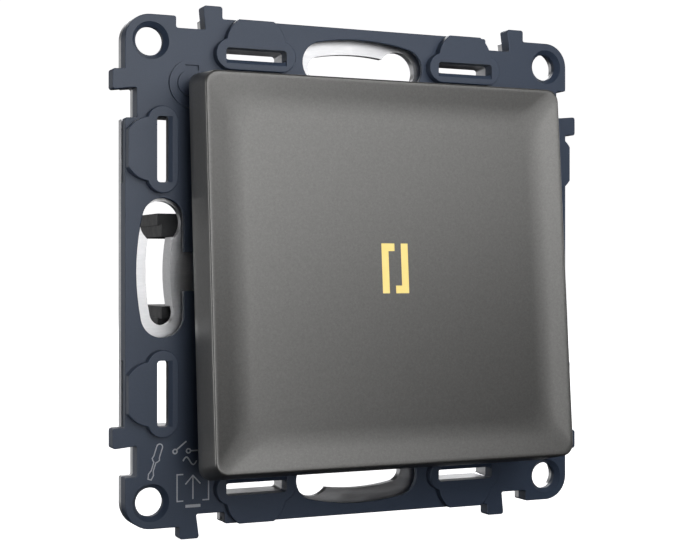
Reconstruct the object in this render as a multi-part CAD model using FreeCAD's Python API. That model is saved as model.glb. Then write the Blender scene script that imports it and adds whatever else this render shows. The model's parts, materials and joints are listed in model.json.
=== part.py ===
import FreeCAD, Part
import os, math
from FreeCAD import Vector as V

# Flush-mounted rocker light switch without its outer surround.
# Row frame: +X to the right, +Z up, +Y into the wall.
# The wall plane is Y = 0, the back of the steel mounting plate; the origin is the plate's centre there.

# ---------------------------------------------------------------- driving dimensions (mm)
MODULE = 71.0            # side of the square frame, and the pitch of two frames side by side
HALF = MODULE / 2
CORNER_R = 3.6
STEEL_T = 1.2            # steel mounting plate
FRAME_T = 2.1            # plastic frame in front of it
Y_STEEL = -STEEL_T
Y_FRONT = -(STEEL_T + FRAME_T)

EAR_TIP = 37.25          # interlocking ears stand out to here
NOTCH_FLOOR = 33.85      # and the notches beside them are cut back to here
HOLE_AT = 31.85          # corner screw holes, 63.7 apart
HOLE_R = 2.0
SINK_R = 2.62

SLOT_L, SLOT_W = 9.1, 1.68       # clip slots for the outer surround
SLOT_AT, SLOT_OUT = 16.8, 30.54
SLOT_BACK = 28.4                 # behind the pad the slot opens inwards to here
PAD_AT, PAD_H = 30.5, 1.4        # raised pad around each slot
COLLAR_Y = -2.75                 # the steel is drawn forward to here on three sides of each slot
COLLAR_T = 0.4                   # thickness of that collar
STEEL_HOLE_R = 2.6               # the steel's corner holes are wider than the plastic's
KIDNEY_IN, KIDNEY_R = 27.15, 33.9
LIP_T, LIP_W = 0.55, 0.9         # thin lip of the plastic round that opening, and its width
BOX_SCREW_R = 30.25              # middle of the slots for the box screws, which lie on a 60 mm circle
KEY_HEAD_R, KEY_SLOT_W = 2.97, 3.5
KEY_HEAD_X, KEY_HEAD_Z = 6.85, 29.87  # centre of the wide end on the top side

BODY_X, BODY_Z = 17.5, 20.5      # half sizes of the housing that goes into the wall box
BODY_BACK = 18.5
COVER_BACK = 22.5
WALL = 1.5
CLEAR = 0.3                      # housing to plate opening
LUG_X, LUG_Z, LUG_R = 20.9, 11.5, 2.4

PIVOT_Y = -9.3                   # rocker axis
TILT = 4.6                       # each way from level; at rest the top is pressed in
FACE_Y = -15.7                   # rim of the rocker face when level
DISH = 0.8                       # the middle of the face lies this far behind its rim
SHOWN_X = -0.06                  # middle of the indicator
BASE_Y = -9.14                   # free edge of the rocker skirt when level
FACE_HX, FACE_HZ = 27.5, 26.86
BASE_HX, BASE_HZ = 27.7, 27.72
CAP_Z = -0.43                    # the middle of the rocker lies this far below its axis
SKIN = 1.6
CAVITY_Y = -13.45
PIN_R, BORE_R = 1.4, 1.45

SEESAW_Y = -12.6                 # front of the rocker frame
SEESAW_T = 1.2
PLUNGER_X = -9.0
TIP_R, TIP_D = 1.2, 11.2         # plunger tip radius and its centre's distance from the rocker axis
TUBE_R, SOCKET_R, PLUNGER_R = 2.6, 1.75, 1.65

LEVER_Y, LEVER_TILT = 4.6, 7.0   # contact lever axis, and its tilt each way
LEVER_T = 1.0
CONTACT_Z = 8.0
TIP_CONTACT_R = 1.6

RAIL_Z = 14.0                    # clamping rails of the terminals
WIRE_X, WIRE_Z, WIRE_R = 13.0, 12.0, 1.6
FLOOR_Y, FLOOR_T = 11.0, 1.2     # partition between the mechanism and the terminals

os.makedirs("parts", exist_ok=True)
O = V(0, 0, 0)


# ---------------------------------------------------------------- helpers
def outline(pts, y=0.0):
    """Closed wire in the XZ plane; a point is (x, z) or (x, z, corner radius)."""
    n = len(pts)
    corners = []
    for i in range(n):
        p = V(pts[i][0], y, pts[i][1])
        r = pts[i][2] if len(pts[i]) > 2 else 0
        if r <= 0:
            corners.append((p, None, p))
            continue
        a = V(pts[i - 1][0], y, pts[i - 1][1])
        b = V(pts[(i + 1) % n][0], y, pts[(i + 1) % n][1])
        u = (a - p).normalize()
        w = (b - p).normalize()
        half = u.getAngle(w) / 2
        mid = (u + w).normalize()
        t = r / math.tan(half)
        c = p + mid * (r / math.sin(half))
        corners.append((p + u * t, c - mid * r, p + w * t))
    edges = []
    for i in range(n):
        s, m, e = corners[i]
        if m is not None:
            edges.append(Part.Arc(s, m, e).toShape())
        nxt = corners[(i + 1) % n][0]
        if (nxt - e).Length > 1e-6:
            edges.append(Part.LineSegment(e, nxt).toShape())
    return Part.Wire(edges)


def prism(wire, depth):
    return Part.Face(wire).extrude(V(0, depth, 0))


def rect(hx, hz, r=0.0, cx=0.0, cz=0.0):
    return [(cx - hx, cz + hz, r), (cx + hx, cz + hz, r), (cx + hx, cz - hz, r), (cx - hx, cz - hz, r)]


def slab(hx, hz, y0, y1, r=0.0, cx=0.0, cz=0.0):
    return prism(outline(rect(hx, hz, r, cx, cz), y0), y1 - y0)


def box(x0, x1, y0, y1, z0, z1):
    return Part.makeBox(x1 - x0, y1 - y0, z1 - z0, V(x0, y0, z0))


def cyl_y(r, y0, y1, x, z):
    return Part.makeCylinder(r, y1 - y0, V(x, y0, z), V(0, 1, 0))


def cyl_x(r, x0, x1, y, z):
    return Part.makeCylinder(r, x1 - x0, V(x0, y, z), V(1, 0, 0))


def cone_y(r0, r1, y0, y1, x, z):
    return Part.makeCone(r0, r1, y1 - y0, V(x, y0, z), V(0, 1, 0))


def four(shape):
    return [shape.rotated(O, V(0, 1, 0), 90 * k) for k in range(4)]


def cut(a, tools):
    return a.cut(tools if isinstance(tools, list) else [tools])


def fuse(shapes):
    s = shapes[0].fuse(shapes[1:]) if len(shapes) > 1 else shapes[0]
    return s.removeSplitter()


def turned(shape, centre, degrees):
    return shape.rotated(centre, V(1, 0, 0), degrees)


def prism_x(pts, x0, x1):
    """Extrude a polygon given as (y, z) points along X."""
    vs = [V(x0, p[0], p[1]) for p in pts]
    w = Part.makePolygon(vs + [vs[0]])
    return Part.Face(w).extrude(V(x1 - x0, 0, 0))


def mirror_z(shape):
    return shape.mirror(O, V(0, 0, 1))


def mirror_x(shape):
    return shape.mirror(O, V(1, 0, 0))


def write(name, shape):
    solids = shape.Solids
    out = solids[0] if len(solids) == 1 else Part.makeCompound(solids)
    ok = out.isValid()
    bb = out.BoundBox
    print("%-24s solids %d valid %s vol %9.2f  X %.2f..%.2f Y %.2f..%.2f Z %.2f..%.2f" % (
        name, len(solids), ok, out.Volume, bb.XMin, bb.XMax, bb.YMin, bb.YMax, bb.ZMin, bb.ZMax))
    out.exportStep("parts/%s.step" % name)


# ---------------------------------------------------------------- frame outline, the same four times round
def side_points():
    """The top side from left to right; the other three are this one turned."""
    return [
        (-28.2, HALF, 0.3), (-28.2, NOTCH_FLOOR, 0.3), (-23.95, NOTCH_FLOOR, 0.25),
        (-24.28, EAR_TIP, 0.4), (-21.4, EAR_TIP, 0.4), (-21.4, HALF, 0.25),
        (21.1, HALF, 0.3), (21.1, NOTCH_FLOOR, 0.3), (25.3, NOTCH_FLOOR, 0.25),
        (24.85, EAR_TIP, 0.4), (27.75, EAR_TIP, 0.4), (27.75, HALF, 0.25),
    ]


def frame_outline(ears=True):
    """The frame's outline; the steel's has the notches but not the ears."""
    pts = []
    for k in range(4):
        a = -90 * k
        c, s = round(math.cos(math.radians(a))), round(math.sin(math.radians(a)))
        side = side_points()
        if not ears:
            side = [(-28.2, HALF, 0.3), (-28.2, NOTCH_FLOOR, 0.3), (-23.95, NOTCH_FLOOR, 0.25), (-24.1, HALF, 0.25),
                    (21.1, HALF, 0.3), (21.1, NOTCH_FLOOR, 0.3), (25.3, NOTCH_FLOOR, 0.25), (25.1, HALF, 0.25)]
        for x, z, r in side:
            pts.append((x * c - z * s, x * s + z * c, r))
        x, z = HALF, HALF
        pts.append((x * c - z * s, x * s + z * c, CORNER_R))
    return pts


def kidney(y0, y1, grow=0.0):
    """Opening for a box screw in the top side: an arc outside, a straight edge inside."""
    r1, r2 = 2.95 + grow, 3.07 + grow
    ro, ri, nx, nz = KIDNEY_R + grow, KIDNEY_IN - grow, 2.71 + grow, 24.6 - grow
    x1 = math.sqrt((ro - r1) ** 2 - (ri + r1) ** 2)
    x2 = math.sqrt((ro - r2) ** 2 - (ri + r2) ** 2)
    c1, c2 = V(x1, y0, ri + r1), V(-x2, y0, ri + r2)

    def out(c):
        return V(c.x, 0, c.z).normalize()
    t1 = c1 + out(c1) * r1
    t2 = c2 + out(c2) * r2
    e = [
        Part.Arc(t2, V(0, y0, ro), t1).toShape(),
        Part.Arc(t1, c1 + V(r1, 0, 0), c1 + V(0, 0, -r1)).toShape(),
        Part.LineSegment(c1 + V(0, 0, -r1), V(nx, y0, ri)).toShape(),
        Part.LineSegment(V(nx, y0, ri), V(nx, y0, nz)).toShape(),
        Part.LineSegment(V(nx, y0, nz), V(-nx, y0, nz)).toShape(),
        Part.LineSegment(V(-nx, y0, nz), V(-nx, y0, ri)).toShape(),
        Part.LineSegment(V(-nx, y0, ri), c2 + V(0, 0, -r2)).toShape(),
        Part.Arc(c2 + V(0, 0, -r2), c2 + V(-r2, 0, 0), t2).toShape(),
    ]
    return prism(Part.Wire(e), y1 - y0)


def keyhole(y0, y1):
    """Slot for a box screw in the steel, wide at one end so that it goes over the screw's head."""
    h = KEY_SLOT_W / 2
    a0 = math.asin(-5.76 / BOX_SCREW_R)
    a1 = math.asin(KEY_HEAD_X / BOX_SCREW_R)

    def p(r, a):
        return V(r * math.sin(a), y0, r * math.cos(a))
    ro, ri = BOX_SCREW_R + h, BOX_SCREW_R - h
    m = (a0 + a1) / 2
    end = p(BOX_SCREW_R, a0) + V(-math.cos(a0), 0, math.sin(a0)) * h
    e = [
        Part.Arc(p(ro, a0), p(ro, m), p(ro, a1)).toShape(),
        Part.LineSegment(p(ro, a1), p(ri, a1)).toShape(),
        Part.Arc(p(ri, a1), p(ri, m), p(ri, a0)).toShape(),
        Part.Arc(p(ri, a0), end, p(ro, a0)).toShape(),
    ]
    slot = prism(Part.Wire(e), y1 - y0)
    return slot.fuse(cyl_y(KEY_HEAD_R, y0, y1, KEY_HEAD_X, KEY_HEAD_Z))


def pad(y0, y1):
    """Raised pad around a clip slot of the top side, centred on X = 0, with a dome out to the edge."""
    r, hl = 2.2, 3.8
    zc = PAD_AT
    nx = 4.4
    a = math.acos((nx - hl) / r)
    nz = zc + r * math.sin(a)

    def v(x, z):
        return V(x, y0, z)
    tip = 35.42
    e = [
        Part.LineSegment(v(-hl, zc - r), v(hl, zc - r)).toShape(),
        Part.Arc(v(hl, zc - r), v(hl + r * math.cos(-a / 6), zc + r * math.sin(-a / 6)), v(nx, nz)).toShape(),
        Part.Arc(v(nx, nz), v(3.85, 34.15), v(2.6, tip)).toShape(),
        Part.LineSegment(v(2.6, tip), v(-2.6, tip)).toShape(),
        Part.Arc(v(-2.6, tip), v(-3.85, 34.15), v(-nx, nz)).toShape(),
        Part.Arc(v(-nx, nz), v(-hl - r * math.cos(-a / 6), zc + r * math.sin(-a / 6)), v(-hl, zc - r)).toShape(),
    ]
    s = prism(Part.Wire(e), y1 - y0)
    rim = [d for d in s.Edges if abs(d.BoundBox.YMin - min(y0, y1)) < 1e-6 and abs(d.BoundBox.YMax - min(y0, y1)) < 1e-6]
    try:
        s = s.makeFillet(0.12, rim)
    except Exception as err:
        print("pad rim left sharp", err)
    return s


# ---------------------------------------------------------------- steel mounting plate
opening_x, opening_z = BODY_X + CLEAR, BODY_Z + CLEAR
plate = prism(outline(frame_outline(False), Y_STEEL), STEEL_T)
# collars drawn forward on the outer side and at the ends of each clip slot
SLOT_TOP = SLOT_OUT + SLOT_W / 2
collar_mid, collar_half = (SLOT_TOP + COLLAR_T + 29.0) / 2, (SLOT_TOP + COLLAR_T - 29.0) / 2
collars = []
for sx in (-1, 1):
    collars += four(slab(SLOT_L / 2 + COLLAR_T, collar_half, COLLAR_Y, Y_STEEL + 0.1, 0.5, sx * SLOT_AT, collar_mid))
plate = fuse([plate] + collars)
tools = [slab(opening_x, opening_z, -5, 5, 1.0)]
tools += four(keyhole(-5, 5))
for sx in (-1, 1):
    # each slot narrows towards the back on its outer side
    mouth = outline(rect(SLOT_L / 2, (SLOT_TOP - SLOT_BACK) / 2, 0.45, sx * SLOT_AT, (SLOT_TOP + SLOT_BACK) / 2), COLLAR_Y - 0.01)
    back = outline(rect(SLOT_L / 2 - 0.1, (SLOT_TOP - 0.25 - SLOT_BACK) / 2, 0.45, sx * SLOT_AT, (SLOT_TOP - 0.25 + SLOT_BACK) / 2), 0.01)
    tools += four(Part.makeLoft([mouth, back], True, True))
tools += four(cyl_y(STEEL_HOLE_R, -5, 5, HOLE_AT, HOLE_AT))
for sx in (-1, 1):
    for sz in (-1, 1):
        tools.append(cyl_y(1.25, -5, 5, sx * LUG_X, sz * LUG_Z))
        x0, x1 = sorted((sx * (opening_x - 0.2), sx * LUG_X))
        tools.append(fuse([cyl_y(LUG_R + 0.25, -0.3, 1, sx * LUG_X, sz * LUG_Z),
                           box(x0, x1, -0.3, 1, sz * LUG_Z - LUG_R - 0.25, sz * LUG_Z + LUG_R + 0.25)]))
plate = cut(plate, tools)
# stiffening tab bent back along the inner edge of each keyhole
ri = BOX_SCREW_R - KEY_SLOT_W / 2
ring = cyl_y(ri, -0.6, 2.25, 0, 0).cut(cyl_y(ri - 1.1, -1, 4, 0, 0))
tab = ring.common(box(-4.85, 4.85, -0.6, 2.25, 25, 30))
plate = fuse([plate] + four(tab))
write("mounting_plate", plate)

# ---------------------------------------------------------------- plastic frame moulded on the plate
frame = prism(outline(frame_outline(), Y_FRONT), FRAME_T)
try:
    front = [e for e in frame.Edges if abs(e.BoundBox.YMin - Y_FRONT) < 1e-6 and abs(e.BoundBox.YMax - Y_FRONT) < 1e-6]
    frame = frame.makeFillet(0.12, front)
except Exception as err:
    print("frame edge left sharp", err)
pads = []
for sx in (-1, 1):
    pads += four(pad(Y_FRONT - PAD_H, Y_FRONT + 0.3).translated(V(sx * SLOT_AT, 0, 0)))
# round boss near the upper left corner
boss = fuse([cyl_y(3.4, Y_FRONT - 0.35, Y_FRONT + 0.2, -25.9, 26.1), cyl_y(1.75, Y_FRONT - 0.7, Y_FRONT, -26.4, 26.15)])
boss = boss.cut(slab(25.0, 25.0, Y_FRONT - 1, Y_FRONT, 2.0))
boss = boss.cut(box(-27.0, -25.05, Y_FRONT - 1, Y_FRONT, 28.0, 28.75))
frame = fuse([frame] + pads + [boss])
tools = [slab(opening_x, opening_z, -8, 5, 1.0)]
tools += four(kidney(-8, 5))
tools += four(kidney(Y_FRONT + LIP_T, 5, LIP_W))
for sx in (-1, 1):
    tools += four(slab(SLOT_L / 2, SLOT_W / 2, -8, 5, 0.45, sx * SLOT_AT, SLOT_OUT))
    # room for the steel's collar, and the opening inwards behind the pad
    tools += four(slab(SLOT_L / 2 + COLLAR_T, collar_half, COLLAR_Y, 5, 0.5, sx * SLOT_AT, collar_mid))
    tools += four(slab(SLOT_L / 2, (SLOT_OUT - SLOT_BACK) / 2, Y_FRONT, 5, 0.3, sx * SLOT_AT, (SLOT_OUT + SLOT_BACK) / 2))
    # lead-in along the inner side of the mouth
    y0 = Y_FRONT - PAD_H - 0.01
    z0 = SLOT_OUT - SLOT_W / 2
    lead = Part.Face(Part.makePolygon([V(sx * SLOT_AT - SLOT_L / 2, y, z) for y, z in
                                       ((y0, z0 + 0.3), (y0, z0 - 0.55), (y0 + 0.31, z0), (y0 + 0.31, z0 + 0.3), (y0, z0 + 0.3))])).extrude(V(SLOT_L, 0, 0))
    tools += four(lead)
    # relief behind each pad at the frame's edge, where the steel shows
    tools += four(slab(4.6, 0.6, Y_STEEL - 1.0, 1, 0.0, sx * SLOT_AT, HALF - 0.1))
tools += four(cyl_y(HOLE_R, -8, 5, HOLE_AT, HOLE_AT))
tools += four(cone_y(SINK_R + 0.02, HOLE_R, Y_FRONT - 0.02, Y_FRONT + 0.8, HOLE_AT, HOLE_AT))
tools += four(cyl_y(STEEL_HOLE_R - 0.1, Y_STEEL - 0.5, 5, HOLE_AT, HOLE_AT))
for sx in (-1, 1):
    for sz in (-1, 1):
        tools.append(cyl_y(1.25, -8, 5, sx * LUG_X, sz * LUG_Z))
frame = cut(frame, tools)


def soften(shape, radius, wanted):
    """Round the edges that `wanted` picks, or leave them sharp if that gives no valid solid."""
    picked = [e for e in shape.Edges if wanted(e.BoundBox)]
    try:
        out = shape.makeFillet(radius, picked)
        if out.isValid() and len(out.Solids) == 1:
            return out.Solids[0]
    except Exception as err:
        print("edges left sharp", err)
    return shape


def at(box_, y):
    return abs(box_.YMin - y) < 1e-4 and abs(box_.YMax - y) < 1e-4


# rounded front edges round the kidney openings and the clip slots' mouths
frame = soften(frame, 0.15, lambda b: at(b, Y_FRONT) and max(abs(b.XMin), abs(b.XMax), abs(b.ZMin), abs(b.ZMax)) < 34.3
               and max(min(abs(b.XMin), abs(b.XMax)), min(abs(b.ZMin), abs(b.ZMax))) > 27.0
               and min(max(abs(b.XMin), abs(b.XMax)), max(abs(b.ZMin), abs(b.ZMax))) < 12.0)
write("cover_frame", frame)

# ---------------------------------------------------------------- housing that goes into the wall box
shell = slab(BODY_X, BODY_Z, Y_FRONT, BODY_BACK, 2.0)
inner = slab(BODY_X - WALL, BODY_Z - WALL, Y_FRONT - 1, BODY_BACK + 1, 1.0)
shell = shell.cut(inner)
floor = slab(BODY_X - WALL + 0.3, BODY_Z - WALL + 0.3, FLOOR_Y, FLOOR_Y + FLOOR_T)
floor = cut(floor, [
    box(-15.6, -5.9, FLOOR_Y - 1, FLOOR_Y + 3, RAIL_Z - 0.1, RAIL_Z + 0.9),
    box(-15.6, -5.9, FLOOR_Y - 1, FLOOR_Y + 3, -RAIL_Z - 0.9, -RAIL_Z + 0.1),
    box(10.4, 15.6, FLOOR_Y - 1, FLOOR_Y + 3, RAIL_Z - 0.1, RAIL_Z + 0.9),
    box(10.4, 15.6, FLOOR_Y - 1, FLOOR_Y + 3, -RAIL_Z - 0.9, -RAIL_Z + 0.1),
])
bits = [shell, floor]
# blocks that carry the fixed contacts and the lamp's terminal
for s in (-1, 1):
    z0, z1 = sorted((s * 6.0, s * (RAIL_Z - 0.1)))
    bits.append(box(-12, -6, 8.1, FLOOR_Y + 0.2, z0, z1))
bits.append(box(4, 15, 9.4, FLOOR_Y + 0.2, -RAIL_Z + 0.1, -3.2))
# claw guide ribs on the left and right, and lugs for the screws
for sx in (-1, 1):
    for sz in (-1, 1):
        x0, x1 = sorted((sx * (BODY_X - 0.5), sx * 28.6))
        z0, z1 = sorted((sz * 4.95, sz * 6.7))
        bits.append(box(x0, x1, 2.3, 16.0, z0, z1))
        x0, x1 = sorted((sx * (BODY_X - 0.5), sx * 28.8))
        z0, z1 = sorted((sz * 6.6, sz * 8.3))
        bits.append(box(x0, x1, 3.6, 14.5, z0, z1))
        x0, x1 = sorted((sx * (BODY_X - 0.5), sx * LUG_X))
        lug = fuse([cyl_y(LUG_R, -0.3, 7.0, sx * LUG_X, sz * LUG_Z),
                    box(x0, x1, -0.3, 7.0, sz * LUG_Z - LUG_R, sz * LUG_Z + LUG_R)])
        bits.append(lug)
housing = fuse(bits)
tools = []
for sx in (-1, 1):
    for sz in (-1, 1):
        tools.append(cyl_y(1.0, -1, 5.2, sx * LUG_X, sz * LUG_Z))
housing = cut(housing, tools)
write("switch_housing", housing)

# ---------------------------------------------------------------- rear cover with the wire entries
rear = slab(BODY_X, BODY_Z, BODY_BACK, COVER_BACK, 2.0)
edge = [e for e in rear.Edges if abs(e.BoundBox.YMin - COVER_BACK) < 1e-6]
try:
    rear = rear.makeFillet(0.8, edge)
except Exception as err:
    print("rear edge left sharp", err)
rear = fuse([rear, slab(BODY_X - WALL - 0.1, BODY_Z - WALL - 0.1, BODY_BACK - 0.2, BODY_BACK + 0.2, 1.0)])
tools = []
for sx in (-1, 1):
    for sz in (-1, 1):
        tools.append(cyl_y(WIRE_R, BODY_BACK - 2, COVER_BACK + 2, sx * WIRE_X, sz * WIRE_Z))
        tools.append(cone_y(WIRE_R, 2.4, COVER_BACK - 1.0, COVER_BACK + 0.001, sx * WIRE_X, sz * WIRE_Z))
for sz in (-1, 1):
    tools.append(slab(4.2, 2.2, BODY_BACK - 2, COVER_BACK + 2, 0.4, 0, sz * 14.0))
rear = cut(rear, tools)
write("rear_cover", rear)

# ---------------------------------------------------------------- carrier: front of the mechanism, with the rocker's bearings
C_HALF = 24.8
carrier = [slab(C_HALF, C_HALF, Y_FRONT - 2.0, Y_FRONT, 2.0)]
collar = slab(C_HALF, C_HALF, Y_FRONT - 5.3, Y_FRONT - 1.9, 2.0).cut(slab(C_HALF - 1.4, C_HALF - 1.4, -12, 0, 1.2))
carrier.append(collar)
for sx in (-1, 1):
    x0, x1 = sorted((sx * 16.9, sx * 19.4))
    post = box(x0, x1, -11.0, Y_FRONT - 1.9, -2.6, 2.6)
    post = fuse([post, cyl_x(2.4, x0, x1, PIVOT_Y, 0)])
    gusset = prism_x([(Y_FRONT - 1.9, -6), (Y_FRONT - 1.9, 6), (-8.0, 2.6), (-8.0, -2.6)], x0, x1)
    carrier += [post, gusset]
carrier = fuse(carrier)
tools = [box(-12.2, -5.8, -8, 0, -3.6, 3.6), box(-3.15, 6.15, -8, 0, -4.65, 4.65)]
for sx in (-1, 1):
    tools.append(cyl_x(BORE_R, min(sx * 16.5, sx * 19.8), max(sx * 16.5, sx * 19.8), PIVOT_Y, 0))
    for sz in (-1, 1):
        tools.append(cyl_y(1.25, -8, 0, sx * LUG_X, sz * LUG_Z))
carrier = cut(carrier, tools)
write("carrier", carrier)

screws = []
for sx in (-1, 1):
    for sz in (-1, 1):
        s = fuse([cyl_y(2.0, -6.7, Y_FRONT - 2.0, sx * LUG_X, sz * LUG_Z), cyl_y(1.0, Y_FRONT - 2.1, 5.0, sx * LUG_X, sz * LUG_Z)])
        x, z = sx * LUG_X, sz * LUG_Z
        s = cut(s, [box(x - 1.2, x + 1.2, -7, -6.0, z - 0.25, z + 0.25), box(x - 0.25, x + 0.25, -7, -6.0, z - 1.2, z + 1.2)])
        screws.append(s)
write("carrier_screws", Part.makeCompound(screws))

# ---------------------------------------------------------------- terminals
RT = 0.8
FY = 7.1                 # front of the fixed contact brackets
upper = fuse([box(-12, -6, FY, FY + 1.0, 6.0, RAIL_Z + RT), box(-15.5, -6, FY, 18.0, RAIL_Z, RAIL_Z + RT)])
write("upper_terminal", upper)
write("lower_terminal", mirror_z(upper))
blade = prism_x([(4.45, -0.2), (4.45, 0.2), (6.0, 0.6), (10.5, 0.6), (10.5, -0.6), (6.0, -0.6)], -11.5, -6.5)
common = fuse([blade, box(-12, 15.5, 10.0, 11.0, -2.5, 2.5), box(10.5, 15.5, 10.0, 11.0, 2.4, RAIL_Z + RT),
               box(10.5, 15.5, 10.0, 18.0, RAIL_Z, RAIL_Z + RT)])
write("common_terminal", common)
lamp_terminal = fuse([box(4.2, 15.0, 8.6, 9.4, -RAIL_Z - RT, -3.2), box(10.5, 15.5, 8.6, 18.0, -RAIL_Z - RT, -RAIL_Z)])
write("lamp_terminal", lamp_terminal)

fixed_tips = [fuse([cyl_y(TIP_CONTACT_R, 6.35, FY, PLUNGER_X, s * CONTACT_Z)]) for s in (1, -1)]
write("fixed_contact_tips", Part.makeCompound(fixed_tips))

# clamp springs: a leaf folded back on itself, its free end against the rail
T = 0.4
leaf_line = [(17.6, 9.1), (13.6, 9.1), (12.9, 9.5), (12.75, 10.1), (13.2, 10.6), (16.7, 13.75)]
outer = []
innr = []
for i, (y, z) in enumerate(leaf_line):
    a = leaf_line[max(i - 1, 0)]
    b = leaf_line[min(i + 1, len(leaf_line) - 1)]
    d = V(0, b[0] - a[0], b[1] - a[1]).normalize()
    n = V(0, -d.z, d.y)
    outer.append((y + n.y * T / 2, z + n.z * T / 2))
    innr.append((y - n.y * T / 2, z - n.z * T / 2))
leaf = prism_x(outer + innr[::-1], 9.8, 15.2)
leaves_up = [leaf, mirror_x(leaf)]
write("clamp_springs_upper", Part.makeCompound(leaves_up))
write("clamp_springs_lower", Part.makeCompound([mirror_z(s) for s in leaves_up]))

release = fuse([slab(4.0, 2.0, 16.9, 24.5, 0.4, 0, 14.0), box(-10.3, 10.3, 16.9, 18.1, 11.6, 13.2)])
release = release.cut(box(-3.0, 3.0, 23.9, 25, 13.6, 14.4))
write("release_lever_upper", release)
write("release_lever_lower", mirror_z(release))

# ---------------------------------------------------------------- plug-in indicator lamp
lamp_box = slab(4.5, 4.5, -6.5, 7.0, 0.5, 1.5, 0)
lamp_box = lamp_box.cut(slab(3.7, 3.7, -7.5, 6.0, 0.3, 1.5, 0))
lamp_box = fuse([lamp_box, slab(4.5, 4.5, -2.6, -1.8, 0.5, 1.5, 0)])
lamp_box = cut(lamp_box, [cyl_y(1.55, -7, 0, 0, 0), cyl_y(0.3, 5, 8, 1.0, 1.0), cyl_y(0.3, 5, 8, 5.0, -3.6),
                          cyl_y(0.3, 5, 8, 1.0, 2.6), cyl_y(0.3, 5, 8, 5.0, -2.0)])
lamp_box = cut(lamp_box, [box(0.4, 1.6, 4.5, 8, 0.4, 1.6), box(4.4, 5.2, 4.5, 8, -4.0, -3.2)])
write("lamp_housing", lamp_box)
led = fuse([cyl_y(1.5, -6.2, -0.6, 0, 0), Part.makeSphere(1.5, V(0, -6.2, 0)), cyl_y(1.8, -1.8, -0.9, 0, 0),
            box(-0.75, -0.35, -0.7, 3.9, -0.25, 0.25), box(0.35, 0.75, -0.7, 3.9, -0.25, 0.25)])
write("lamp_led", led)
board = slab(3.6, 3.6, 3.9, 4.8, 0.0, 1.5, 0)
write("lamp_board", board)
resistor = fuse([cyl_x(0.9, 1.9, 4.3, 2.95, 2.0), box(1.2, 5.0, 2.7, 3.2, 1.75, 2.25),
                 box(1.2, 1.7, 2.7, 3.9, 1.75, 2.25), box(4.5, 5.0, 2.7, 3.9, 1.75, 2.25)])
write("lamp_resistor", resistor)
pin_a = fuse([box(0.5, 1.5, 4.8, 9.2, 0.5, 1.0), prism_x([(9.2, 0.5), (9.2, 1.0), (10.0, 1.9), (10.0, 1.4)], 0.5, 1.5)])
pin_b = fuse([box(4.5, 5.1, 4.8, 8.6, -3.9, -3.4)])
write("lamp_contacts", Part.makeCompound([pin_a, pin_b]))

# ---------------------------------------------------------------- rocker and what turns with it (built level, then tilted)
pivot = V(0, PIVOT_Y, 0)


def rest(shape):
    return turned(shape, pivot, -TILT)


def lofted(hx0, hz0, y0, hx1, hz1, y1, r0, r1):
    return Part.makeLoft([outline(rect(hx0, hz0, r0), y0), outline(rect(hx1, hz1, r1), y1)], True, True).translated(V(0, 0, CAP_Z))


BAR = 1.05
IND_HX, IND_HZ, FOOT = 2.03, 3.475, 2.0


def bracket(y0, y1, grow=0.0):
    """The indicator's left half: a bar with a foot at its top; the right half is the same turned by 180 degrees."""
    g = grow
    cx = SHOWN_X
    pts = [(-IND_HX - g, IND_HZ + g), (-IND_HX + FOOT + g, IND_HZ + g), (-IND_HX + FOOT + g, IND_HZ - BAR - g),
           (-IND_HX + BAR + g, IND_HZ - BAR - g), (-IND_HX + BAR + g, -IND_HZ - g), (-IND_HX - g, -IND_HZ - g)]
    a = prism(outline(pts, y0), y1 - y0)
    both = [a, a.rotated(O, V(0, 1, 0), 180)]
    return [b.translated(V(cx, 0, 0)) for b in both]


button = lofted(BASE_HX, BASE_HZ, BASE_Y, FACE_HX, FACE_HZ, FACE_Y, 1.8, 1.8)
try:
    rim = [e for e in button.Edges if abs(e.BoundBox.YMin - FACE_Y) < 1e-4 and abs(e.BoundBox.YMax - FACE_Y) < 1e-4]
    button = button.makeFillet(0.3, rim)
except Exception as err:
    print("rocker rim left sharp", err)
hollow = lofted(BASE_HX - SKIN, BASE_HZ - SKIN, BASE_Y + 0.01, FACE_HX - SKIN, FACE_HZ - SKIN, CAVITY_Y, 1.0, 1.0)
dish = lofted(FACE_HX - 0.4, FACE_HZ - 0.4, FACE_Y - 0.02, FACE_HX - 4.2, FACE_HZ - 4.2, FACE_Y + DISH, 1.8, 3.0)
button = cut(button, [hollow, dish] + bracket(-17, -12, 0.02))
pegs = [cyl_y(1.3, CAVITY_Y - 0.2, -10.6, sx * 17, sz * 15) for sx in (-1, 1) for sz in (-1, 1)]
button = fuse([button] + pegs)
write("rocker_button", rest(button))

guide = fuse(bracket(FACE_Y + DISH, CAVITY_Y + 0.1) + [slab(4.0, 5.2, CAVITY_Y, SEESAW_Y, 0.5), slab(2.5, 4.0, SEESAW_Y - 0.1, -9.8, 0.4)])
write("light_guide", rest(guide))

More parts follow.
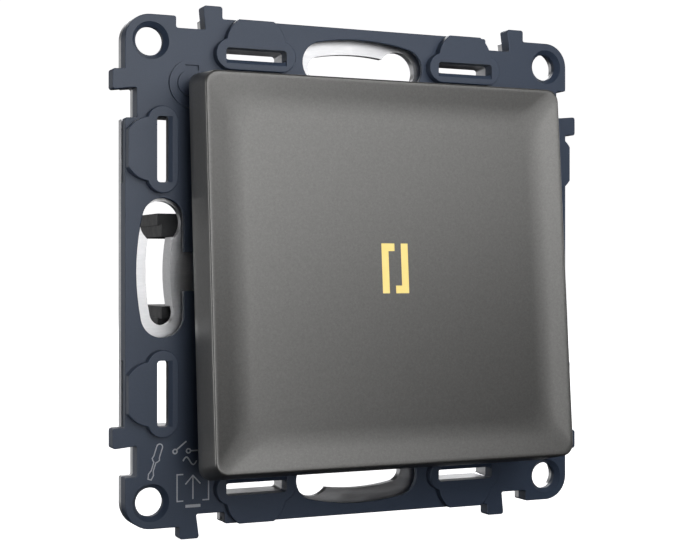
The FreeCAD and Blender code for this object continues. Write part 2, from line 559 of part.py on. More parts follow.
seesaw = [slab(20.5, 20.5, SEESAW_Y, SEESAW_Y + SEESAW_T, 2.0)]
for sx in (-1, 1):
    x0, x1 = sorted((sx * 14.0, sx * 16.6))
    seesaw.append(box(x0, x1, SEESAW_Y + 0.5, PIVOT_Y + 0.2, -2.3, 2.3))
    seesaw.append(cyl_x(2.3, x0, x1, PIVOT_Y, 0))
    x0, x1 = sorted((sx * 16.5, sx * 19.2))
    seesaw.append(cyl_x(PIN_R, x0, x1, PIVOT_Y, 0))
tube = cyl_y(TUBE_R, SEESAW_Y, PIVOT_Y + 8.4, PLUNGER_X, 0)
seesaw.append(tube)
seesaw = fuse(seesaw)
tools = [cyl_y(SOCKET_R, PIVOT_Y - 2.0, PIVOT_Y + 9, PLUNGER_X, 0), slab(2.7, 4.2, -14, -8, 0.4)]
for sx in (-1, 1):
    x0, x1 = sorted((sx * 16.65, sx * 21.5))
    tools.append(box(x0, x1, -14, -11.0, -4.6, 4.6))
    for sz in (-1, 1):
        tools.append(cyl_y(1.32, -14, -8, sx * 17, sz * 15))
seesaw = cut(seesaw, tools)
write("rocker_frame", rest(seesaw))

plunger = fuse([cyl_y(PLUNGER_R, PIVOT_Y + 5.2, PIVOT_Y + 10.0, PLUNGER_X, 0), cyl_y(TIP_R, PIVOT_Y + 9.9, PIVOT_Y + TIP_D, PLUNGER_X, 0),
                Part.makeSphere(TIP_R, V(PLUNGER_X, PIVOT_Y + TIP_D, 0))])
write("toggle_plunger", rest(plunger))

# coil spring between the socket's end and the plunger
WIRE, COIL = 0.22, 1.2
length = 7.2 - 2 * WIRE
helix = Part.makeHelix(length / 7.0, length, COIL)
start = V(COIL, 0, 0)
section = Part.Wire([Part.Circle(start, V(0, 1, 0.05).normalize(), WIRE).toShape()])
coil = Part.Wire(helix.Edges).makePipeShell([section], True, True)
coil = coil.rotated(O, V(1, 0, 0), -90)          # its axis now runs along +Y
coil = coil.translated(V(PLUNGER_X, PIVOT_Y - 2.0 + WIRE, 0))
write("toggle_spring", rest(coil))

# ---------------------------------------------------------------- contact lever (built level, then tilted the other way)
lp = V(0, LEVER_Y, 0)
lever = [box(PLUNGER_X - 3, PLUNGER_X + 3, LEVER_Y - 1.4, LEVER_Y - 0.4, -9.6, 9.6)]
lever = cut(lever[0], [cyl_y(0.8, 0, 8, PLUNGER_X, s * CONTACT_Z) for s in (-1, 1)])
write("contact_lever", turned(lever, lp, LEVER_TILT))
tips = []
for s in (-1, 1):
    tips.append(fuse([cyl_y(TIP_CONTACT_R, LEVER_Y - 0.4, LEVER_Y + 0.4, PLUNGER_X, s * CONTACT_Z),
                      cyl_y(0.8, LEVER_Y - 1.4, LEVER_Y - 0.3, PLUNGER_X, s * CONTACT_Z),
                      cyl_y(1.2, LEVER_Y - 1.7, LEVER_Y - 1.4, PLUNGER_X, s * CONTACT_Z)]))
write("moving_contact_tips", turned(Part.makeCompound(tips), lp, LEVER_TILT))
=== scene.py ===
import bpy, bmesh, json, math
from mathutils import Matrix, Vector


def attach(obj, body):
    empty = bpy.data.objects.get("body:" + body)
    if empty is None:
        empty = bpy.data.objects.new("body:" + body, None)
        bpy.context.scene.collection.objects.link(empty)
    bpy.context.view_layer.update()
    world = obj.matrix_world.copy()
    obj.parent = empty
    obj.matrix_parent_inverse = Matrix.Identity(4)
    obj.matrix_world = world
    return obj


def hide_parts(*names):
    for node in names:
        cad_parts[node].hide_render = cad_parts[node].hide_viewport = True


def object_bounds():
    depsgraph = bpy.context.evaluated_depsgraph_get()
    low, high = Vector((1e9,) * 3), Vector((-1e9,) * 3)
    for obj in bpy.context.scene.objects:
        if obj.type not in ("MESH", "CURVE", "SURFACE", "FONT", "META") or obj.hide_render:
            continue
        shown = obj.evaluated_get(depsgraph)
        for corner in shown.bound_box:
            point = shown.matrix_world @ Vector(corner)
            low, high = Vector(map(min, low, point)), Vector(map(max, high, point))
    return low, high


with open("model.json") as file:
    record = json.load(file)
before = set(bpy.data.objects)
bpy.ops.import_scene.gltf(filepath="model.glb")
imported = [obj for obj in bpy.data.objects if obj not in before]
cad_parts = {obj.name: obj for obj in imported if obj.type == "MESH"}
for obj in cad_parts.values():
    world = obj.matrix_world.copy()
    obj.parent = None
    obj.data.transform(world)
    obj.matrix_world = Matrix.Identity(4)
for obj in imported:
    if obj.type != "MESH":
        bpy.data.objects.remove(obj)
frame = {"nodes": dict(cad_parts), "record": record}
CAD_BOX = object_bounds()
nodes = frame["nodes"]
MM = 0.001

# ------------------------------------------------------------------ camera
cam_data = bpy.data.cameras.new("camera")
cam = bpy.data.objects.new("camera", cam_data)
bpy.context.scene.collection.objects.link(cam)
bpy.context.scene.camera = cam
cam_data.sensor_width = 36.0
cam_data.lens = 75.0
cam_data.shift_y = -0.5 / 700
cam_data.clip_start, cam_data.clip_end = 0.01, 20.0
cam.location = (-90.69 * MM, -197.11 * MM, 0.0)
cam.rotation_euler = (math.radians(90), 0, -math.radians(24.66))


# ------------------------------------------------------------------ small helpers
def link(o):
    bpy.context.scene.collection.objects.link(o)
    return o


def mesh_object(name, verts, faces, smooth=True):
    me = bpy.data.meshes.new(name)
    me.from_pydata([tuple(v) for v in verts], [], faces)
    me.update()
    o = link(bpy.data.objects.new(name, me))
    for p in me.polygons:
        p.use_smooth = smooth
    return o


def tidy(o, merge=1e-6):
    bm = bmesh.new()
    bm.from_mesh(o.data)
    bmesh.ops.remove_doubles(bm, verts=bm.verts, dist=merge)
    bmesh.ops.recalc_face_normals(bm, faces=bm.faces)
    bm.to_mesh(o.data)
    bm.free()
    return o


def sharp_by_angle(o, degrees):
    """Marks edges sharper than the angle, so that smooth shading stops there."""
    bm = bmesh.new()
    bm.from_mesh(o.data)
    lim = math.radians(degrees)
    for e in bm.edges:
        e.smooth = not (len(e.link_faces) == 2 and e.calc_face_angle(0.0) > lim)
    bm.to_mesh(o.data)
    bm.free()
    return o


# ------------------------------------------------------------------ materials
class Mat:
    """A node material built step by step around one Principled shader."""

    def __init__(self, name):
        self.m = bpy.data.materials.new(name)
        self.m.use_nodes = True
        self.t = self.m.node_tree
        self.n = self.t.nodes
        self.b = next(x for x in self.n if x.type == "BSDF_PRINCIPLED")
        self.coord = self.n.new("ShaderNodeTexCoord")

    def set(self, **kw):
        names = {"metal": "Metallic", "rough": "Roughness", "spec": "Specular IOR Level", "coat": "Coat Weight",
                 "coat_rough": "Coat Roughness", "ior": "IOR", "trans": "Transmission Weight", "sheen": "Sheen Weight",
                 "aniso": "Anisotropic", "sub": "Subsurface Weight", "sub_scale": "Subsurface Scale",
                 "emit": "Emission Strength", "emit_col": "Emission Color", "col": "Base Color"}
        for k, v in kw.items():
            if k in ("emit_col", "col"):
                v = (*v, 1.0)
            self.b.inputs[names[k]].default_value = v
        return self

    def noise(self, scale, detail=2.0, rough=0.5, stretch=None, distort=0.0):
        x = self.n.new("ShaderNodeTexNoise")
        x.inputs["Scale"].default_value = scale
        x.inputs["Detail"].default_value = detail
        x.inputs["Roughness"].default_value = rough
        x.inputs["Distortion"].default_value = distort
        src = self.coord.outputs["Object"]
        if stretch:
            mp = self.n.new("ShaderNodeMapping")
            mp.inputs["Scale"].default_value = stretch
            self.t.links.new(src, mp.inputs["Vector"])
            src = mp.outputs["Vector"]
        self.t.links.new(src, x.inputs["Vector"])
        return x.outputs["Fac"]

    def voronoi(self, scale, out="Color"):
        x = self.n.new("ShaderNodeTexVoronoi")
        x.inputs["Scale"].default_value = scale
        self.t.links.new(self.coord.outputs["Object"], x.inputs["Vector"])
        return x.outputs[out]

    def ramp(self, fac, stops):
        x = self.n.new("ShaderNodeValToRGB")
        cr = x.color_ramp
        while len(cr.elements) < len(stops):
            cr.elements.new(0.5)
        for e, (pos, col) in zip(cr.elements, stops):
            e.position = pos
            e.color = (*col, 1.0)
        self.t.links.new(fac, x.inputs["Fac"])
        return x.outputs["Color"]

    def mix(self, fac, a, b, mode="MIX"):
        x = self.n.new("ShaderNodeMix")
        x.data_type = "RGBA"
        x.blend_type = mode
        for sock, v in ((x.inputs[0], fac), (x.inputs[6], a), (x.inputs[7], b)):
            if isinstance(v, bpy.types.NodeSocket):
                self.t.links.new(v, sock)
            elif isinstance(v, tuple):
                sock.default_value = (*v, 1.0)
            else:
                sock.default_value = v
        return x.outputs[2]

    def math(self, op, a, b=None, c=None):
        x = self.n.new("ShaderNodeMath")
        x.operation = op
        for i, v in enumerate((a, b, c)):
            if v is None:
                continue
            if isinstance(v, bpy.types.NodeSocket):
                self.t.links.new(v, x.inputs[i])
            else:
                x.inputs[i].default_value = v
        return x.outputs[0]

    def range(self, fac, lo, hi, a=0.0, b=1.0):
        x = self.n.new("ShaderNodeMapRange")
        self.t.links.new(fac, x.inputs["Value"])
        x.inputs["From Min"].default_value = a
        x.inputs["From Max"].default_value = b
        x.inputs["To Min"].default_value = lo
        x.inputs["To Max"].default_value = hi
        return x.outputs["Result"]

    def to(self, sock, name):
        self.t.links.new(sock, self.b.inputs[name])
        return self

    def bump(self, height, strength, distance, normal=None):
        x = self.n.new("ShaderNodeBump")
        x.inputs["Strength"].default_value = strength
        x.inputs["Distance"].default_value = distance
        self.t.links.new(height, x.inputs["Height"])
        if normal:
            self.t.links.new(normal, x.inputs["Normal"])
        self.t.links.new(x.outputs["Normal"], self.b.inputs["Normal"])
        return x.outputs["Normal"]

    def separate(self):
        x = self.n.new("ShaderNodeSeparateXYZ")
        self.t.links.new(self.coord.outputs["Object"], x.inputs[0])
        return x.outputs


def plastic(name, dark, light, rough=(0.42, 0.52), grain=5200, grain_strength=0.25, spec=0.5):
    """Moulded plastic: slow tone drift, fine texture of the mould, uneven gloss."""
    m = Mat(name).set(spec=spec)
    drift = m.noise(70, 2, 0.5)
    fine = m.noise(grain, 3, 0.6)
    tone = m.math("ADD", m.math("MULTIPLY", drift, 0.35), m.math("MULTIPLY", fine, 0.65))
    m.to(m.ramp(tone, [(0.30, dark), (0.70, light)]), "Base Color")
    m.to(m.range(m.noise(900, 3, 0.6), rough[0], rough[1], 0.3, 0.7), "Roughness")
    m.bump(fine, grain_strength, 0.00002)
    return m


def metal(name, dark, light, rough=(0.25, 0.38), scale=900, stretch=(1, 1, 1), bump=0.15, spangle=False):
    """Sheet or drawn metal: grain along one direction, dull patches."""
    m = Mat(name).set(metal=1.0)
    grain = m.noise(scale, 4, 0.65, stretch)
    drift = m.noise(60, 3, 0.5)
    tone = m.math("ADD", m.math("MULTIPLY", grain, 0.45), m.math("MULTIPLY", drift, 0.55))
    col = m.ramp(tone, [(0.36, dark), (0.64, light)])
    if spangle:
        sp = m.voronoi(330, "Color")
        bw = m.n.new("ShaderNodeRGBToBW")
        m.t.links.new(sp, bw.inputs[0])
        col = m.mix(m.range(bw.outputs[0], 0.0, 0.22), col, tuple(x * 0.80 for x in dark))
    m.to(col, "Base Color")
    m.to(m.range(m.noise(scale * 0.35, 3, 0.6, stretch), rough[0], rough[1], 0.3, 0.7), "Roughness")
    m.bump(grain, bump, 0.00003)
    return m


# the rocker's metallic paint: dark grey with fine flakes
paint = Mat("rocker_paint").set(metal=0.85, spec=0.5)
flake = paint.voronoi(6500, "Color")
bw = paint.n.new("ShaderNodeRGBToBW")
paint.t.links.new(flake, bw.inputs[0])
soft = paint.noise(2600, 3, 0.6)
tone = paint.math("ADD", paint.math("MULTIPLY", bw.outputs[0], 0.35), paint.math("MULTIPLY", soft, 0.65))
paint.to(paint.ramp(tone, [(0.25, (0.182, 0.180, 0.175)), (0.50, (0.205, 0.203, 0.197)), (0.75, (0.230, 0.228, 0.221))]), "Base Color")
paint.to(paint.range(bw.outputs[0], 0.42, 0.47), "Roughness")
paint.bump(paint.mix(0.5, flake, soft), 0.07, 0.00002)

navy = plastic("navy_plastic_look", (0.050, 0.070, 0.112), (0.060, 0.084, 0.135), (0.40, 0.45), 5200, 0.12)
black = plastic("black_plastic_look", (0.010, 0.011, 0.013), (0.022, 0.023, 0.026), (0.40, 0.52), 4200, 0.3)
cover = plastic("black_cover_look", (0.014, 0.015, 0.018), (0.028, 0.029, 0.033), (0.46, 0.58), 3000, 0.45)
carrier_look = plastic("black_carrier_look", (0.010, 0.011, 0.012), (0.020, 0.021, 0.024), (0.38, 0.48), 4600, 0.25)
grey = plastic("grey_lever_look", (0.11, 0.115, 0.125), (0.17, 0.175, 0.185), (0.32, 0.42), 4600, 0.25)
nylon = plastic("white_nylon_look", (0.62, 0.61, 0.57), (0.78, 0.77, 0.73), (0.30, 0.42), 3000, 0.2)
shell = plastic("lamp_shell_look", (0.60, 0.59, 0.56), (0.76, 0.75, 0.72), (0.28, 0.38), 4600, 0.15)
board_look = plastic("circuit_board_look", (0.012, 0.070, 0.030), (0.025, 0.115, 0.050), (0.22, 0.34), 1500, 0.2)
resistor_look = plastic("resistor_look", (0.42, 0.33, 0.20), (0.60, 0.49, 0.32), (0.20, 0.30), 1600, 0.15)

zinc = metal("galvanised_steel_look", (0.66, 0.665, 0.68), (0.80, 0.80, 0.81), (0.30, 0.42), 700, (1, 1, 6), 0.12, spangle=True)
screw_look = metal("screw_steel_look", (0.58, 0.58, 0.57), (0.76, 0.76, 0.75), (0.22, 0.34), 1500, (1, 1, 1), 0.2)
brass_look = metal("tinned_brass_look", (0.62, 0.55, 0.38), (0.78, 0.71, 0.54), (0.24, 0.36), 800, (5, 1, 1), 0.15)
silver_look = metal("silver_contact_look", (0.78, 0.77, 0.74), (0.93, 0.92, 0.90), (0.18, 0.30), 1500, (1, 1, 1), 0.2)
spring_look = metal("spring_steel_look", (0.46, 0.46, 0.47), (0.66, 0.66, 0.67), (0.18, 0.28), 1200, (1, 6, 1), 0.12)
copper_look = metal("copper_lever_look", (0.66, 0.36, 0.22), (0.86, 0.52, 0.36), (0.20, 0.32), 900, (1, 1, 6), 0.15)

# clear warm epoxy of the lamp
led_look = Mat("led_epoxy_look").set(trans=0.6, ior=1.5, rough=0.12, emit=1.5, emit_col=(1.0, 0.72, 0.32))
led_look.to(led_look.ramp(led_look.noise(900, 3, 0.5), [(0.3, (1.0, 0.82, 0.48)), (0.7, (1.0, 0.90, 0.62))]), "Base Color")

# lit light guide: warm yellow, a little brighter in places at random
glow = Mat("glowing_guide_look").set(rough=0.30, emit=0.82)
drift = glow.noise(420, 3, 0.55)
glow.to(glow.ramp(drift, [(0.30, (0.28, 0.21, 0.07)), (0.75, (0.32, 0.25, 0.10))]), "Base Color")
glow.to(glow.ramp(drift, [(0.30, (0.97, 0.78, 0.255)), (0.55, (0.99, 0.80, 0.285)), (0.78, (1.0, 0.83, 0.32))]), "Emission Color")
glow.bump(glow.noise(2600, 2, 0.5), 0.05, 0.00002)

SLOT_LOOK = {
    "galvanised_steel": zinc, "navy_plastic": navy, "black_plastic": black, "black_cover": cover, "black_carrier": carrier_look,
    "screw_steel": screw_look, "tinned_brass": brass_look, "silver_contact": silver_look, "spring_steel": spring_look,
    "grey_lever": grey, "lamp_shell": shell, "led_epoxy": led_look, "circuit_board": board_look, "resistor_body": resistor_look,
    "metallic_grey_plastic": paint, "glowing_guide": glow, "white_nylon": nylon, "copper_lever": copper_look,
}
for part in frame["record"]["subparts"]:
    o = nodes[part["node"]]
    o.data.materials.clear()
    o.data.materials.append(SLOT_LOOK[part["material_slot"]].m)

# ------------------------------------------------------------------ rocker: modelled shell with a soft dish
PIVOT_Y, TILT = -9.3, math.radians(4.6)
FACE_Y, BASE_Y, DISH = -15.7, -9.14, 0.8
FACE_HX, FACE_HZ, BASE_HX, BASE_HZ = 27.5, 26.86, 27.7, 27.72
SKIN, CAVITY_Y = 1.6, -13.45
CAP_Z = -0.43
IND_HX, IND_HZ, BAR, FOOT, SHOWN_X = 2.03, 3.475, 1.05, 2.0, -0.06


def tilted(p):
    """Level rocker coordinates in mm to the row frame at rest, in metres."""
    x, y, z = p
    dy, dz = y - PIVOT_Y, z
    c, s = math.cos(-TILT), math.sin(-TILT)
    return (x * MM, (PIVOT_Y + dy * c - dz * s) * MM, (dy * s + dz * c) * MM)


def ring_points(hx, hz, r, n_arc=14, n_side=18):
    """A rounded rectangle, the same number of points for every size."""
    pts = []
    for k, (sx, sz) in enumerate(((1, 1), (-1, 1), (-1, -1), (1, -1))):
        a0 = math.radians(90 * k)
        cx, cz = sx * (hx - r), sz * (hz - r)
        for i in range(n_arc + 1):
            a = a0 + math.radians(90) * i / n_arc
            pts.append((cx + r * math.cos(a), cz + r * math.sin(a)))
        nsx, nsz = ((-1, 1), (-1, -1), (1, -1), (1, 1))[k]
        a1 = a0 + math.radians(90)
        ex, ez = cx + r * math.cos(a1), cz + r * math.sin(a1)
        fx, fz = nsx * (hx - r) + r * math.cos(a1), nsz * (hz - r) + r * math.sin(a1)
        for i in range(1, n_side):
            t = i / n_side
            pts.append((ex + (fx - ex) * t, ez + (fz - ez) * t))
    return pts


def rings_mesh(rings, close_last=None):
    verts, faces = [], []
    n = len(rings[0])
    for ring in rings:
        verts += ring
    for k in range(len(rings) - 1):
        for i in range(n):
            j = (i + 1) % n
            faces.append((k * n + i, k * n + j, (k + 1) * n + j, (k + 1) * n + i))
    return verts, faces


def lerp(a, b, t):
    return a + (b - a) * t


def build_rocker():
    rings = []
    R = 1.8
    depth = FACE_Y - BASE_Y

    def ring(hx, hz, y, r):
        rings.append([tilted((x, y, z + CAP_Z)) for x, z in ring_points(hx, hz, r)])

    # hollow side, from the ceiling out to the free edge
    ch, cz_ = FACE_HX - SKIN, FACE_HZ - SKIN
    ring(ch - 0.6, cz_ - 0.6, CAVITY_Y, 0.9)
    ring(ch - 0.15, cz_ - 0.15, CAVITY_Y + 0.1, 1.0)
    ring(ch, cz_, CAVITY_Y + 0.5, 1.0)
    ring(BASE_HX - SKIN, BASE_HZ - SKIN, BASE_Y - 0.15, 1.0)
    ring(BASE_HX - SKIN + 0.12, BASE_HZ - SKIN + 0.12, BASE_Y, 1.05)
    ring(BASE_HX - 0.18, BASE_HZ - 0.18, BASE_Y, R)
    ring(BASE_HX - 0.05, BASE_HZ - 0.05, BASE_Y - 0.05, R)
    ring(BASE_HX, BASE_HZ, BASE_Y - 0.18, R)
    # outer wall
    rim_r = 0.28
    for t in (0.25, 0.5, 0.75):
        ring(lerp(BASE_HX, FACE_HX, t), lerp(BASE_HZ, FACE_HZ, t), BASE_Y + depth * t, R)
    # rounded rim
    for i in range(0, 9):
        a = math.radians(90) * i / 8
        k = rim_r * (1 - math.cos(a))
        y = FACE_Y + rim_r * (1 - math.sin(a))
        t = (y - BASE_Y) / depth
        ring(lerp(BASE_HX, FACE_HX, t) - k, lerp(BASE_HZ, FACE_HZ, t) - k, y, R - 0.35 * k)
    # the dish: an even slope behind the rim, then a hollow curve into the flat middle
    W0, WA, WB = 0.28, 2.6, 5.6
    slope = DISH / ((WA - W0) + (WB - WA) / 2)
    steps = [lerp(W0, WA, i / 6) for i in range(1, 7)] + [lerp(WA, WB, i / 16) for i in range(1, 17)]
    for w in steps:
        if w <= WA:
            d = slope * (w - W0)
        else:
            q = (w - WA) / (WB - WA)
            d = slope * ((WA - W0) + (WB - WA) * (q - q * q / 2))
        ring(FACE_HX - w, FACE_HZ - w, FACE_Y + d, 1.6 + 0.35 * w)
    verts, faces = rings_mesh(rings)
    n = len(rings[0])
    bm = bmesh.new()
    vs = [bm.verts.new(v) for v in verts]
    for f in faces:
        bm.faces.new([vs[i] for i in f])
    # ceiling of the hollow side
    bm.faces.new(list(reversed(vs[:n])))
    # flat middle with the two openings of the indicator
    last = vs[-n:]
    loops = []
    y_mid = FACE_Y + DISH
    for turn in (1, -1):
        pts = [(-IND_HX, IND_HZ), (-IND_HX + FOOT, IND_HZ), (-IND_HX + FOOT, IND_HZ - BAR), (-IND_HX + BAR, IND_HZ - BAR),
               (-IND_HX + BAR, -IND_HZ), (-IND_HX, -IND_HZ)]
        g = 0.02
        pts = [(-IND_HX - g, IND_HZ + g), (-IND_HX + FOOT + g, IND_HZ + g), (-IND_HX + FOOT + g, IND_HZ - BAR - g),
               (-IND_HX + BAR + g, IND_HZ - BAR - g), (-IND_HX + BAR + g, -IND_HZ - g), (-IND_HX - g, -IND_HZ - g)]
        loops.append([(x * turn + SHOWN_X, z * turn) for x, z in pts])
    edges = []
    for i in range(n):
        e = bm.edges.get((last[i], last[(i + 1) % n]))
        edges.append(e)
    for lp in loops:
        top = [bm.verts.new(tilted((x, y_mid, z))) for x, z in lp]
        low = [bm.verts.new(tilted((x, y_mid + 0.9, z))) for x, z in lp]
        m = len(lp)
        for i in range(m):
            bm.faces.new((top[i], top[(i + 1) % m], low[(i + 1) % m], low[i]))
            edges.append(bm.edges.get((top[i], top[(i + 1) % m])))
    bmesh.ops.triangle_fill(bm, use_beauty=True, use_dissolve=False, edges=edges)
    bmesh.ops.recalc_face_normals(bm, faces=bm.faces)
    me = bpy.data.meshes.new("rocker_cap")
    bm.to_mesh(me)
    bm.free()
    o = link(bpy.data.objects.new("rocker_cap", me))
    for p in me.polygons:
        p.use_smooth = True
    sharp_by_angle(o, 50)
    o.data.materials.append(paint.m)
    return o


rocker = build_rocker()
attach(rocker, "rocker")
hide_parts("rocker_button")


# pegs that hold the cap on its frame, under the cap
def tube_piece(name, rows, seg=40):
    """Turned piece about the Y axis of the level rocker: rows of (radius, y) at (cx, cz)."""
    verts, faces = [], []
    for cx, cz, prof in rows:
        base = len(verts)
        for r, y in prof:
            for i in range(seg):
                a = 2 * math.pi * i / seg
                verts.append(tilted((cx + r * math.cos(a), y, cz + r * math.sin(a))))
        m = len(prof)
        for k in range(m - 1):
            for i in range(seg):
                j = (i + 1) % seg
                faces.append((base + k * seg + i, base + k * seg + j, base + (k + 1) * seg + j, base + (k + 1) * seg + i))
        faces.append(tuple(base + (m - 1) * seg + i for i in range(seg)))
        faces.append(tuple(base + i for i in reversed(range(seg))))
    o = tidy(mesh_object(name, verts, faces))
    return sharp_by_angle(o, 40)


pegs = tube_piece("rocker_pegs", [(sx * 17, sz * 15, [(1.3, -13.5), (1.3, -10.85), (1.22, -10.68), (1.05, -10.6)]) for sx in (-1, 1) for sz in (-1, 1)])
pegs.data.materials.append(paint.m)
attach(pegs, "rocker")

# ------------------------------------------------------------------ printed marks on the frame, as thin raised ink
ink = plastic("ink_look", (0.52, 0.55, 0.60), (0.66, 0.69, 0.74), (0.45, 0.55), 5200, 0.05)
Y_INK = -3.3


def strokes(name, lines, width=0.11, height=0.02):
    """Thin flat ink strokes along the given (x, z) polylines in mm on the frame's front."""
    bm = bmesh.new()
    for pts, closed in lines:
        n = len(pts)
        left, right = [], []
        for i in range(n):
            if closed:
                a, b = pts[i - 1], pts[(i + 1) % n]
            else:
                a, b = pts[max(i - 1, 0)], pts[min(i + 1, n - 1)]
            p = pts[i]
            d0 = Vector((p[0] - a[0], p[1] - a[1]))
            d1 = Vector((b[0] - p[0], b[1] - p[1]))
            if d0.length < 1e-9:
                d0 = d1.copy()
            if d1.length < 1e-9:
                d1 = d0.copy()
            d0.normalize()
            d1.normalize()
            t = (d0 + d1)
            t = t.normalized() if t.length > 1e-6 else d0
            nrm = Vector((-t.y, t.x))
            k = min(1.0 / max(0.35, nrm.dot(Vector((-d1.y, d1.x)))), 2.0)
            left.append((p[0] + nrm.x * width / 2 * k, p[1] + nrm.y * width / 2 * k))
            right.append((p[0] - nrm.x * width / 2 * k, p[1] - nrm.y * width / 2 * k))
        fl = [bm.verts.new((x * MM, (Y_INK - height) * MM, z * MM)) for x, z in left]
        fr = [bm.verts.new((x * MM, (Y_INK - height) * MM, z * MM)) for x, z in right]
        bl = [bm.verts.new((x * MM, (Y_INK + 0.01) * MM, z * MM)) for x, z in left]
        br = [bm.verts.new((x * MM, (Y_INK + 0.01) * MM, z * MM)) for x, z in right]
        rng = range(n) if closed else range(n - 1)
        for i in rng:
            j = (i + 1) % n
            bm.faces.new((fl[i], fl[j], fr[j], fr[i]))
            bm.faces.new((bl[i], br[i], br[j], bl[j]))
            bm.faces.new((fl[i], bl[i], bl[j], fl[j]))
            bm.faces.new((fr[i], fr[j], br[j], br[i]))
        if not closed:
            bm.faces.new((fl[0], fr[0], br[0], bl[0]))
            bm.faces.new((fl[-1], bl[-1], br[-1], fr[-1]))
    bmesh.ops.recalc_face_normals(bm, faces=bm.faces)
    me = bpy.data.meshes.new(name)
    bm.to_mesh(me)
    bm.free()
    o = link(bpy.data.objects.new(name, me))
    o.data.materials.append(ink.m)
    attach(o, "switch_body")
    return o


def placed(pts, cx, cz, degrees, scale=1.0):
    a = math.radians(degrees)
    c, s = math.cos(a), math.sin(a)
    return [(cx + scale * (x * c - z * s), cz + scale * (x * s + z * c)) for x, z in pts]


def arc(cx, cz, r, a0, a1, n=8):
    return [(cx + r * math.cos(math.radians(lerp(a0, a1, i / n))), cz + r * math.sin(math.radians(lerp(a0, a1, i / n)))) for i in range(n + 1)]


# a plain screwdriver outline: handle above, shank and flat tip below
driver = (arc(0, 1.80, 0.36, 0, 180, 10) + [(-0.36, 0.60), (-0.47, 0.28), (-0.30, 0.04), (-0.13, -0.10), (-0.13, -1.12), (-0.32, -1.62), (-0.20, -2.2), (0.20, -2.2),
          (0.32, -1.62), (0.13, -1.12), (0.13, -0.10), (0.30, 0.04), (0.47, 0.28), (0.36, 0.60)])
mark_a = strokes("mark_screwdriver", [(placed(driver, -31.26, -26.2, -18.1, 1.16), True)], 0.16)
# a drawn contact with its two terminals, and a wave under it
contact = [(arc(-28.40, -24.95, 0.30, 0, 330, 12), True), (arc(-26.45, -24.95, 0.30, 0, 330, 12), True),
           ([(-28.18, -24.72), (-26.75, -23.60)], False), ([(-26.15, -24.95), (-25.1, -24.95)], False)]
wave = [([(-27.25 + 2.0 * i / 16, -26.35 + 0.55 * math.sin(2 * math.pi * i / 16)) for i in range(17)], False)]
mark_b = strokes("mark_contact", contact + wave, 0.20)
# an upward arrow in an open frame, with a bar under it
arrow = [([(-25.8, -31.7), (-25.8, -28.5)], False), ([(-26.9, -29.6), (-25.8, -28.4), (-24.7, -29.6)], False),
         ([(-27.2, -28.2), (-28.1, -28.2), (-28.1, -31.9), (-27.2, -31.9)], False), ([(-24.4, -28.2), (-23.5, -28.2), (-23.5, -31.9), (-24.4, -31.9)], False)]
mark_c = strokes("mark_arrow", arrow, 0.18)
mark_d = strokes("mark_bar", [([(-26.9, -32.65), (-24.7, -32.65)], False)], 0.42)

# ------------------------------------------------------------------ floor, light
low = CAD_BOX[0].z
floor_m = Mat("floor_look").set(rough=0.6, spec=0.2, emit=1.02, emit_col=(1, 1, 1))
floor_m.to(floor_m.ramp(floor_m.noise(6, 3, 0.5), [(0.3, (0.86, 0.86, 0.86)), (0.7, (0.90, 0.90, 0.90))]), "Base Color")


def sweep():
    """Pale floor that curves up into a wall far behind."""
    prof = [(-3.0, 0.0), (1.2, 0.0)]
    for i in range(1, 13):
        a = math.radians(90) * i / 12
        prof.append((1.2 + 0.8 * math.sin(a), 0.8 * (1 - math.cos(a))))
    prof.append((2.0, 3.5))
    verts, faces = [], []
    for y, z in prof:
        verts += [(-4.0, y, low + z), (4.0, y, low + z)]
    for i in range(len(prof) - 1):
        faces.append((2 * i, 2 * i + 1, 2 * i + 3, 2 * i + 2))
    o = mesh_object("backdrop", verts, faces)
    o.data.materials.append(floor_m.m)
    return o


back = sweep()
back.visible_diffuse = False
back.visible_glossy = False


def area(name, loc, target, size, energy, color=(1, 1, 1), size_y=None, spread=180):
    d = bpy.data.lights.new(name, "AREA")
    d.energy = energy
    d.color = color
    d.shape = "RECTANGLE"
    d.size = size
    d.size_y = size_y or size
    d.spread = math.radians(spread)
    o = link(bpy.data.objects.new(name, d))
    o.location = loc
    v = Vector(target) - Vector(loc)
    o.rotation_euler = v.to_track_quat("-Z", "Y").to_euler()
    o.visible_camera = False
    return o


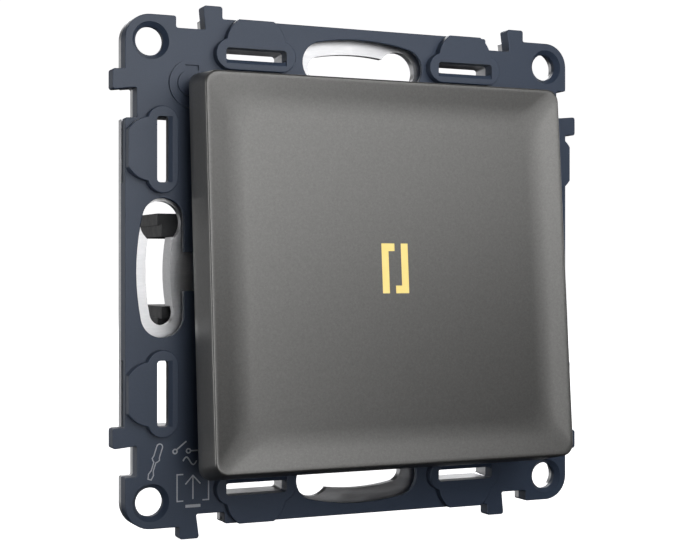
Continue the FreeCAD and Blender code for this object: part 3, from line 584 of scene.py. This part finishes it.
def around(name, azimuth, elevation, distance, size, energy, size_y=None):
    """Soft box at an azimuth to the right of -Y and an elevation, aimed at the object."""
    a, e = math.radians(azimuth), math.radians(elevation)
    loc = (distance * math.sin(a) * math.cos(e), -0.01 - distance * math.cos(a) * math.cos(e), distance * math.sin(e))
    return area(name, loc, (0, -0.01, 0), size, energy, size_y=size_y)


around("near_left", -15, 12, 0.13, 0.08, 0.0400)
around("near_top", 0, 28, 0.13, 0.08, 0.0137)
around("near_right", 30, 28, 0.13, 0.08, 0.0280)
around("front_upper_box", 8, 25, 0.50, 0.20, 0.117)
around("front_left_box", -8, 8, 0.50, 0.20, 0.150)
around("front_low_box", -6, -8, 0.50, 0.20, 0.535)
around("side_left", -105, 0, 0.80, 0.40, 2.3)
around("side_right", 105, 5, 0.80, 0.40, 1.3)
around("behind_left", -155, 0, 0.80, 0.40, 0.25)
around("behind_right", 150, 30, 0.80, 0.40, 0.7)
around("behind_high", 180, 40, 0.80, 0.40, 2.0)

world = bpy.data.worlds.new("world")
bpy.context.scene.world = world
world.use_nodes = True
wt = world.node_tree
bg = next(n for n in wt.nodes if n.type == "BACKGROUND")
tc = wt.nodes.new("ShaderNodeTexCoord")
sep = wt.nodes.new("ShaderNodeSeparateXYZ")
wt.links.new(tc.outputs["Generated"], sep.inputs[0])
ramp = wt.nodes.new("ShaderNodeValToRGB")
mr = wt.nodes.new("ShaderNodeMapRange")
mr.inputs["From Min"].default_value = -1
mr.inputs["From Max"].default_value = 1
wt.links.new(sep.outputs["Z"], mr.inputs["Value"])
wt.links.new(mr.outputs["Result"], ramp.inputs["Fac"])
ramp.color_ramp.elements[0].position = 0.35
ramp.color_ramp.elements[0].color = (0.01, 0.01, 0.012, 1)
ramp.color_ramp.elements[1].position = 0.85
ramp.color_ramp.elements[1].color = (0.05, 0.05, 0.051, 1)
wt.links.new(ramp.outputs["Color"], bg.inputs["Color"])
bg.inputs["Strength"].default_value = 1.0

bpy.context.scene.view_settings.view_transform = "Standard"
bpy.context.scene.view_settings.look = "None"

bpy.context.view_layer.update()
